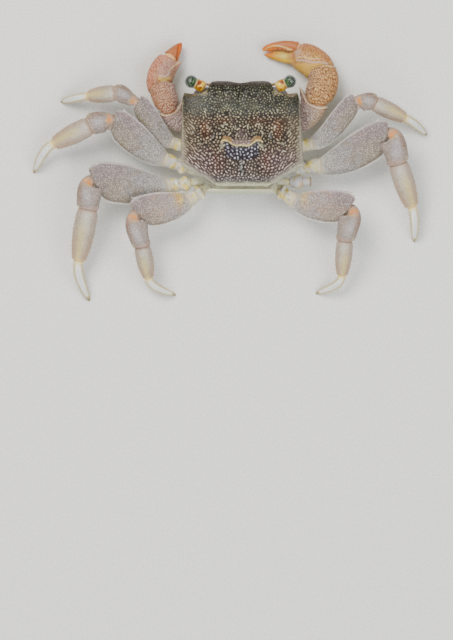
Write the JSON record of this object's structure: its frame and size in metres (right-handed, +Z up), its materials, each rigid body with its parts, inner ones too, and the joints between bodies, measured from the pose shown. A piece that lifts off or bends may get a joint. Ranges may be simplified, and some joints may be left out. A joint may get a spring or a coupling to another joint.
{
  "type": "sesarmid crab",
  "caption": "Life-size still model of a squarish land crab, legs spread and claws folded in front, for display.",
  "frame": {"origin": "centre of the model's footprint, on the surface that it stands on", "axes": "+X towards the animal's left, along the leg span; -Y towards its head; +Z up"},
  "size_m": [0.079, 0.0521, 0.0135],
  "materials": {
    "carapace": "satin shell, dark brown with many small cream spots",
    "sternum": "satin, smooth bluish-white plates",
    "pleon": "satin, smooth grey-white plates",
    "mouth": "satin, grey-white plates with tan edges",
    "stalk": "satin, yellow with red-orange marks",
    "eye": "glossy, dark green",
    "antenna": "satin, tan",
    "leg": "satin, grey-pink with purple-grey net markings",
    "leg_tip": "satin, cream with horny tan tips",
    "claw": "satin, orange-tan, granular",
    "finger": "satin, orange to yellow"
  },
  "bodies": {
    "root": {"carapace": "carapace", "left_antenna": "antenna", "left_claw_base": "claw", "left_claw_carpus": "claw", "left_claw_finger": "finger", "left_claw_merus": "claw", "left_claw_palm": "claw", "left_eye": "eye", "left_eye_stalk": "stalk", "left_leg_2_base": "leg", "left_leg_2_carpus": "leg", "left_leg_2_dactyl": "leg_tip", "left_leg_2_merus": "leg", "left_leg_2_propodus": "leg", "left_leg_3_base": "leg", "left_leg_3_carpus": "leg", "left_leg_3_dactyl": "leg_tip", "left_leg_3_merus": "leg", "left_leg_3_propodus": "leg", "left_leg_4_base": "leg", "left_leg_4_carpus": "leg", "left_leg_4_dactyl": "leg_tip", "left_leg_4_merus": "leg", "left_leg_4_propodus": "leg", "left_leg_5_base": "leg", "left_leg_5_carpus": "leg", "left_leg_5_dactyl": "leg_tip", "left_leg_5_merus": "leg", "left_leg_5_propodus": "leg", "left_maxilliped": "mouth", "pleon": "pleon", "right_antenna": "antenna", "right_claw_base": "claw", "right_claw_carpus": "claw", "right_claw_finger": "finger", "right_claw_merus": "claw", "right_claw_palm": "claw", "right_eye": "eye", "right_eye_stalk": "stalk", "right_leg_2_base": "leg", "right_leg_2_carpus": "leg", "right_leg_2_dactyl": "leg_tip", "right_leg_2_merus": "leg", "right_leg_2_propodus": "leg", "right_leg_3_base": "leg", "right_leg_3_carpus": "leg", "right_leg_3_dactyl": "leg_tip", "right_leg_3_merus": "leg", "right_leg_3_propodus": "leg", "right_leg_4_stump": "leg", "right_leg_5_base": "leg", "right_leg_5_carpus": "leg", "right_leg_5_dactyl": "leg_tip", "right_leg_5_merus": "leg", "right_leg_5_propodus": "leg", "right_maxilliped": "mouth", "sternum": "sternum", "telson": "pleon"}
  },
  "joints": []
}
